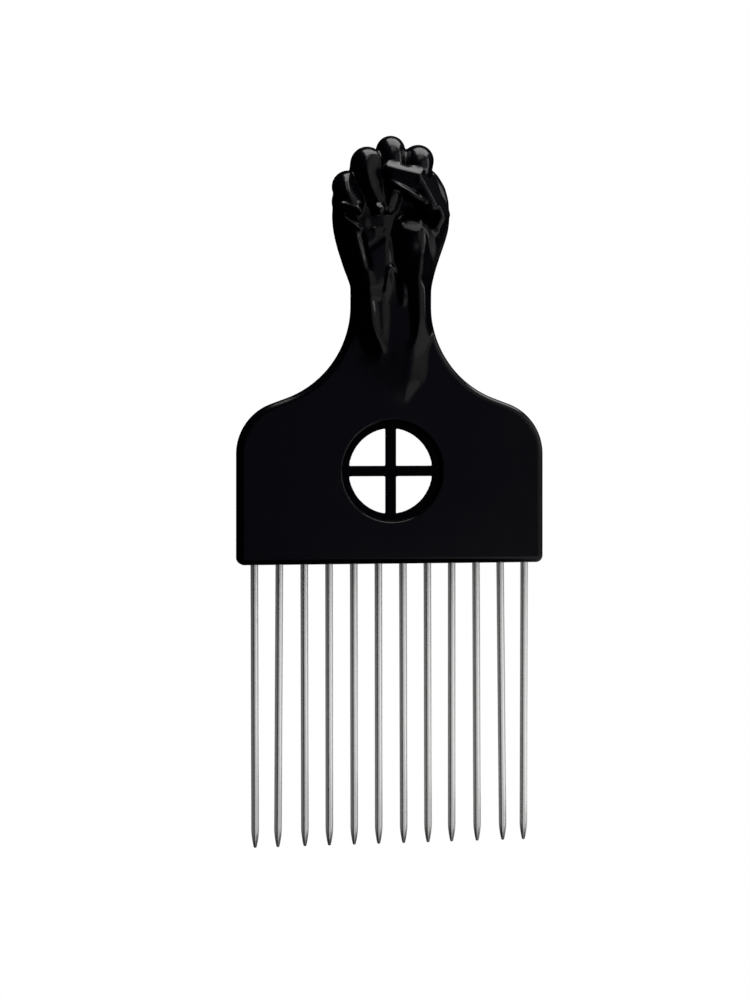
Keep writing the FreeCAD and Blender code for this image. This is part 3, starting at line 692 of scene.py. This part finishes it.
def noise(nt, scale, detail, stretch=None, rough=0.5):
    co = nt.nodes.new("ShaderNodeTexCoord")
    mp = nt.nodes.new("ShaderNodeMapping")
    if stretch is not None:
        mp.inputs["Scale"].default_value = stretch
    nz = nt.nodes.new("ShaderNodeTexNoise")
    nz.inputs["Scale"].default_value = scale
    nz.inputs["Detail"].default_value = detail
    nz.inputs["Roughness"].default_value = rough
    nt.links.new(co.outputs["Object"], mp.inputs["Vector"])
    nt.links.new(mp.outputs["Vector"], nz.inputs["Vector"])
    return nz


def ramp(nt, src, lo, hi, a=0.3, b=0.7):
    r = nt.nodes.new("ShaderNodeMapRange")
    r.inputs["From Min"].default_value = a
    r.inputs["From Max"].default_value = b
    r.inputs["To Min"].default_value = lo
    r.inputs["To Max"].default_value = hi
    nt.links.new(src, r.inputs["Value"])
    return r.outputs["Result"]


plastic, nt, sh = new_material("black_moulded_plastic")
sh.inputs["Base Color"].default_value = (0.0028, 0.0025, 0.0048, 1)
sh.inputs["IOR"].default_value = 1.5
# polish of the mould: slightly uneven gloss, faint flow marks
cloud = noise(nt, 90.0, 3.0)
nt.links.new(ramp(nt, cloud.outputs["Fac"], 0.16, 0.22), sh.inputs["Roughness"])
wave = noise(nt, 240.0, 2.0, (1.0, 1.0, 0.6))
bump = nt.nodes.new("ShaderNodeBump")
bump.inputs["Strength"].default_value = 0.05
bump.inputs["Distance"].default_value = 0.0004
nt.links.new(wave.outputs["Fac"], bump.inputs["Height"])
nt.links.new(bump.outputs["Normal"], sh.inputs["Normal"])
# the web and the cross in the window reflect far less than the face: painted shade that darkens the recess and the web


def maths(op, a, b):
    m = nt.nodes.new("ShaderNodeMath")
    m.operation = op
    for i, v in enumerate((a, b)):
        if isinstance(v, float):
            m.inputs[i].default_value = v
        else:
            nt.links.new(v, m.inputs[i])
    return m.outputs[0]


co = nt.nodes.new("ShaderNodeTexCoord")
xyz = nt.nodes.new("ShaderNodeSeparateXYZ")
nt.links.new(co.outputs["Object"], xyz.inputs["Vector"])
dz = maths("SUBTRACT", xyz.outputs["Z"], WIN_Z / 1000.0)
rho2 = maths("ADD", maths("MULTIPLY", xyz.outputs["X"], xyz.outputs["X"]), maths("MULTIPLY", dz, dz))
in_round = maths("LESS_THAN", rho2, (REC_R / 1000.0) ** 2)
in_web = maths("LESS_THAN", maths("MULTIPLY", xyz.outputs["Y"], xyz.outputs["Y"]), (0.0011) ** 2)
recess_shade = maths("MULTIPLY", in_round, in_web)
# painted shade: specular level drops from 0.5 to 0.1 inside the round recess and across the web
nt.links.new(ramp(nt, recess_shade, 0.5, 0.1, 0.0, 1.0), sh.inputs["Specular IOR Level"])
body.data.materials.clear()
body.data.materials.append(plastic)

steel, nt, sh = new_material("drawn_steel_wire")
sh.inputs["Metallic"].default_value = 1.0
# drawn wire: long fine lines down the pin, in tone, gloss and relief
lines = noise(nt, 1500.0, 3.0, (1.0, 1.0, 0.02), 0.6)
tone = nt.nodes.new("ShaderNodeValToRGB")
tone.color_ramp.elements[0].position = 0.3
tone.color_ramp.elements[0].color = (0.52, 0.515, 0.51, 1)
tone.color_ramp.elements[1].position = 0.7
tone.color_ramp.elements[1].color = (0.66, 0.655, 0.65, 1)
nt.links.new(lines.outputs["Fac"], tone.inputs["Fac"])
nt.links.new(tone.outputs["Color"], sh.inputs["Base Color"])
nt.links.new(ramp(nt, lines.outputs["Fac"], 0.2, 0.34), sh.inputs["Roughness"])
bump = nt.nodes.new("ShaderNodeBump")
bump.inputs["Strength"].default_value = 0.12
bump.inputs["Distance"].default_value = 0.00005
nt.links.new(lines.outputs["Fac"], bump.inputs["Height"])
nt.links.new(bump.outputs["Normal"], sh.inputs["Normal"])
for p in pins:
    p.data.materials.append(steel)


# ---------------------------------------------------------------------------
# Stage: pale floor, soft panels, camera
# ---------------------------------------------------------------------------
scene = bpy.context.scene
scene.view_settings.view_transform = "Standard"
scene.view_settings.look = "None"

world = bpy.data.worlds.new("studio")
scene.world = world
world.use_nodes = True
bg = world.node_tree.nodes["Background"]
bg.inputs["Color"].default_value = (1, 1, 1, 1)
bg.inputs["Strength"].default_value = 1.0
for ray in ("diffuse", "glossy", "transmission", "scatter"):
    setattr(world.cycles_visibility, ray, False)

me = bpy.data.meshes.new("floor")
me.from_pydata([(-6, -6, 0), (6, -6, 0), (6, 6, 0), (-6, 6, 0)], [], [(0, 1, 2, 3)])
floor = bpy.data.objects.new("floor", me)
floor.location.z = -0.0006
scene.collection.objects.link(floor)
pale = bpy.data.materials.new("pale_floor")
pale.use_nodes = True
t = pale.node_tree
t.nodes.clear()
em = t.nodes.new("ShaderNodeEmission")
em.inputs["Color"].default_value = (1, 1, 1, 1)
em.inputs["Strength"].default_value = 1.0
t.links.new(em.outputs["Emission"], t.nodes.new("ShaderNodeOutputMaterial").inputs["Surface"])
me.materials.append(pale)
floor.visible_glossy = False
floor.visible_diffuse = False
floor.visible_shadow = False


def panel(name, place, aim, wide, high, radiance, tint=(1.0, 1.0, 1.0)):
    li = bpy.data.lights.new(name, "AREA")
    li.shape = "RECTANGLE"
    li.size, li.size_y = wide, high
    li.energy = radiance * math.pi * wide * high
    li.color = tint
    ob = bpy.data.objects.new(name, li)
    ob.location = place
    ob.rotation_euler = (Vector(aim) - Vector(place)).to_track_quat("-Z", "Y").to_euler()
    ob.visible_camera = False
    scene.collection.objects.link(ob)
    return ob


panel("top_panel", (0.17, -0.02, 0.54), (0.17, -0.02, 0.0), 0.58, 0.34, 3.5)
panel("right_panel", (0.435, -0.442, 0.26), (0, 0, 0.12), 0.54, 0.52, 0.27)
panel("front_panel", (0.12, -0.42, 0.70), (0, 0, 0.14), 0.45, 0.22, 1.1)
panel("front_card", (0.104, -0.591, 0.06), (0, 0, 0.06), 0.22, 0.36, 0.076, (0.78, 0.70, 1.0))
panel("rear_panel", (0.42, 0.14, 0.42), (0, 0, 0.15), 0.34, 0.34, 0.02)
panel("side_strip", (0.585, -0.15, 0.28), (0, 0, 0.14), 0.09, 0.40, 2.3)
panel("right_card", (0.40, -0.12, 0.004), (0.40, -0.12, 1.0), 0.70, 0.60, 0.4)
# low cards round the pins, for the pins alone
wires = bpy.data.collections.new("wires")
for p in pins:
    wires.objects.link(p)
for li in (panel("low_front_card", (0.15, -0.16, -0.018), (0.15, 0.0, -0.018), 0.42, 0.146, 0.76),
           panel("low_right_card", (0.26, -0.01, -0.018), (0.0, -0.01, -0.018), 0.40, 0.146, 0.7),
           panel("low_left_card", (-0.22, -0.03, -0.018), (0.0, -0.03, -0.018), 0.38, 0.146, 0.2),
           panel("low_back_card", (0.03, 0.20, -0.018), (0.03, 0.0, -0.018), 0.42, 0.146, 0.5)):
    li.light_linking.receiver_collection = wires

cam_data = bpy.data.cameras.new("camera")
cam_data.sensor_width = 36.0
cam_data.sensor_fit = "AUTO"
cam_data.lens = FOCAL * 36.0 / 1000.0
cam_data.shift_x = (375.0 - COL) / 1000.0
cam_data.shift_y = (ROW - 500.0) / 1000.0
cam_data.clip_start, cam_data.clip_end = 0.01, 20.0
cam = bpy.data.objects.new("camera", cam_data)
cam.location = (-FAR * SY / 1000.0, -FAR * CY / 1000.0, EYE / 1000.0)
cam.rotation_euler = (math.radians(90.0), 0.0, -YAW)
scene.collection.objects.link(cam)
scene.camera = cam
